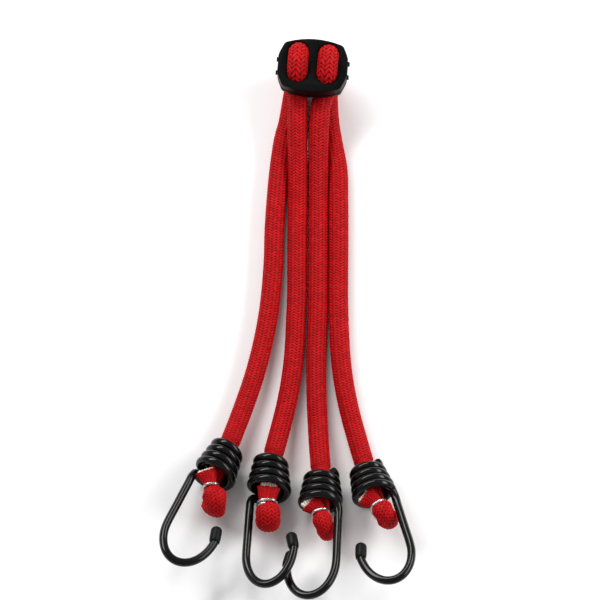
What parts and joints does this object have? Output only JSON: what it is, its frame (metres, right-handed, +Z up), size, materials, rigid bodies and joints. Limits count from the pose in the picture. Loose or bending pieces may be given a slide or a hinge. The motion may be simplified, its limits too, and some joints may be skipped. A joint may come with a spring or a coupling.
{
  "type": "multi-arm bungee strap",
  "caption": "Luggage strap of braided elastic cords threaded through a snapped plastic hub, each arm ending in a coiled wire hook with a dipped tip.",
  "frame": {"origin": "under the middle of the strap's box as it lies, on the surface it lies on", "axes": "+Y from the hooks towards the hub, +Z up, +X towards arm 4"},
  "size_m": [0.1267, 0.3009, 0.037],
  "materials": {
    "hub_plastic": "satin moulded",
    "braid": "braided polyester",
    "rubber": "matte latex strands",
    "zinc": "bright zinc plate",
    "coated_wire": "glossy dip coat",
    "tip_vinyl": "matte dipped vinyl"
  },
  "bodies": {
    "hub": {"hub_rear_plate": "hub_plastic", "hub_front_cover": "hub_plastic", "left_loop_sheath": "braid", "left_loop_core": "rubber", "right_loop_sheath": "braid", "right_loop_core": "rubber"},
    "arm_1": {"arm_1_sheath": "braid", "arm_1_core": "rubber"},
    "tail_1": {"tail_1_sheath": "braid", "tail_1_core": "rubber"},
    "hook_1": {"end_1_sheath": "braid", "end_1_core": "rubber", "hog_ring_1": "zinc", "hook_1": "coated_wire", "tip_cap_1": "tip_vinyl"},
    "arm_2": {"arm_2_sheath": "braid", "arm_2_core": "rubber"},
    "tail_2": {"tail_2_sheath": "braid", "tail_2_core": "rubber"},
    "hook_2": {"end_2_sheath": "braid", "end_2_core": "rubber", "hog_ring_2": "zinc", "hook_2": "coated_wire", "tip_cap_2": "tip_vinyl"},
    "arm_3": {"arm_3_sheath": "braid", "arm_3_core": "rubber"},
    "tail_3": {"tail_3_sheath": "braid", "tail_3_core": "rubber"},
    "hook_3": {"end_3_sheath": "braid", "end_3_core": "rubber", "hog_ring_3": "zinc", "hook_3": "coated_wire", "tip_cap_3": "tip_vinyl"},
    "arm_4": {"arm_4_sheath": "braid", "arm_4_core": "rubber"},
    "tail_4": {"tail_4_sheath": "braid", "tail_4_core": "rubber"},
    "hook_4": {"end_4_sheath": "braid", "end_4_core": "rubber", "hog_ring_4": "zinc", "hook_4": "coated_wire", "tip_cap_4": "tip_vinyl"}
  },
  "joints": [
    {"name": "arm_1_swing", "type": "hinge", "parent": "hub", "child": "arm_1", "pos_m": [0.0028, 0.1312, 0.0049], "axis": [0, 0, -1], "range_deg": [0, 120]},
    {"name": "arm_1_stretch", "type": "slide", "parent": "arm_1", "child": "tail_1", "axis": [-0.4067, -0.9135, 0], "range_m": [0, 0.15], "stiffness_N_per_m": 800, "deforming": ["arm_1_sheath", "arm_1_core"]},
    {"name": "hook_1_twist", "type": "hinge", "parent": "tail_1", "child": "hook_1", "pos_m": [-0.037, -0.0802, 0.01182], "axis": [-0.4007, -0.8999, 0.1719], "range_deg": [-150, 150], "stiffness_Nm_per_rad": 0.02, "deforming": ["tail_1_sheath", "tail_1_core"]},
    {"name": "arm_2_lift", "type": "hinge", "parent": "hub", "child": "arm_2", "pos_m": [0.005, 0.1148, 0.0147], "axis": [-1, 0, 0], "range_deg": [0, 90]},
    {"name": "arm_2_stretch", "type": "slide", "parent": "arm_2", "child": "tail_2", "axis": [-0.0663, -0.9978, 0], "range_m": [0, 0.15], "stiffness_N_per_m": 800, "deforming": ["arm_2_sheath", "arm_2_core"]},
    {"name": "hook_2_twist", "type": "hinge", "parent": "tail_2", "child": "hook_2", "pos_m": [-0.0094, -0.0885, 0.01161], "axis": [-0.0658, -0.9904, 0.1219], "range_deg": [0, 120], "stiffness_Nm_per_rad": 0.02, "deforming": ["tail_2_sheath", "tail_2_core"]},
    {"name": "arm_3_lift", "type": "hinge", "parent": "hub", "child": "arm_3", "pos_m": [0.0161, 0.1148, 0.0147], "axis": [-1, 0, 0], "range_deg": [0, 90]},
    {"name": "arm_3_stretch", "type": "slide", "parent": "arm_3", "child": "tail_3", "axis": [-0.0384, -0.9993, 0], "range_m": [0, 0.15], "stiffness_N_per_m": 800, "deforming": ["arm_3_sheath", "arm_3_core"]},
    {"name": "hook_3_twist", "type": "hinge", "parent": "tail_3", "child": "hook_3", "pos_m": [0.0165, -0.0956, 0.01196], "axis": [-0.0378, -0.9828, 0.1805], "range_deg": [0, 120], "stiffness_Nm_per_rad": 0.02, "deforming": ["tail_3_sheath", "tail_3_core"]},
    {"name": "arm_4_swing", "type": "hinge", "parent": "hub", "child": "arm_4", "pos_m": [0.0203, 0.1312, 0.0049], "axis": [0, 0, 1], "range_deg": [0, 120]},
    {"name": "arm_4_stretch", "type": "slide", "parent": "arm_4", "child": "tail_4", "axis": [0.2487, -0.9686, 0], "range_m": [0, 0.15], "stiffness_N_per_m": 800, "deforming": ["arm_4_sheath", "arm_4_core"]},
    {"name": "hook_4_twist", "type": "hinge", "parent": "tail_4", "child": "hook_4", "pos_m": [0.0435, -0.0912, 0.01316], "axis": [0.2404, -0.9364, 0.2554], "range_deg": [-150, 150], "stiffness_Nm_per_rad": 0.02, "deforming": ["tail_4_sheath", "tail_4_core"]}
  ],
  "couplings": [
    {"joint": "arm_3_lift", "follows": "arm_2_lift", "ratio": 1},
    {"joint": "arm_3_stretch", "follows": "arm_2_stretch", "ratio": 1}
  ]
}
